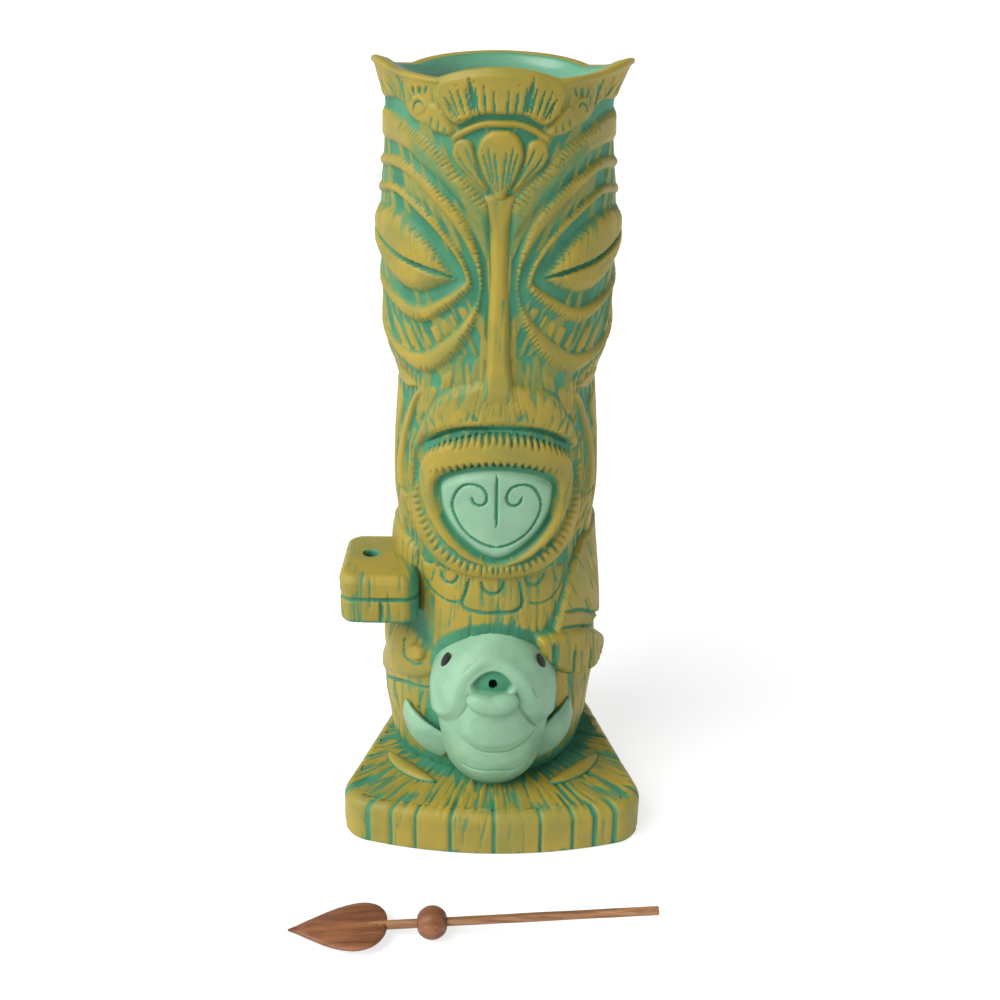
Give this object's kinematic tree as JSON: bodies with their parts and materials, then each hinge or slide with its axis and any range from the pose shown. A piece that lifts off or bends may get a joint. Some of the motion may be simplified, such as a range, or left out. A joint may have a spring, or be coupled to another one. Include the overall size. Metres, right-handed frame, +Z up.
{
  "type": "tiki mug",
  "caption": "Tall carved idol mug with a petal rim, a mint tongue, a fist drilled for a spear and a hugged fish, on a fan-shaped plinth, with its loose leaf-bladed spear.",
  "frame": {"origin": "middle of the round mug body on the underside of the plinth, at the table", "axes": "+Z up the mug, the face looks along -Y, +X is the idol's left side"},
  "size_m": [0.1143, 0.1428, 0.25],
  "materials": {
    "olive_glaze": "matt olive-yellow glaze wiped off to green in the carving",
    "mint_glaze": "matt mint glaze",
    "black_glaze": "satin black glaze",
    "bamboo": "stained split bamboo, bare",
    "stained_wood": "stained reddish brown, matt"
  },
  "bodies": {
    "mug": {"vessel": "olive_glaze", "plinth": "olive_glaze", "nose": "olive_glaze", "tongue": "mint_glaze", "right_arm": "olive_glaze", "spear_fist": "olive_glaze", "left_arm": "olive_glaze", "left_hand": "olive_glaze", "fish": "mint_glaze", "fish_lip": "mint_glaze", "fish_fin_right": "mint_glaze", "fish_fin_left": "mint_glaze", "fish_eye_right": "black_glaze", "fish_eye_left": "black_glaze", "foot_right": "olive_glaze", "foot_left": "olive_glaze"},
    "spear": {"spear_shaft": "bamboo", "spear_ball": "stained_wood", "spear_blade": "stained_wood"}
  },
  "joints": [
    {"name": "spear_lift", "type": "slide", "parent": "mug", "child": "spear", "axis": [0, 0, 1], "range_m": [0, 0.12]}
  ]
}
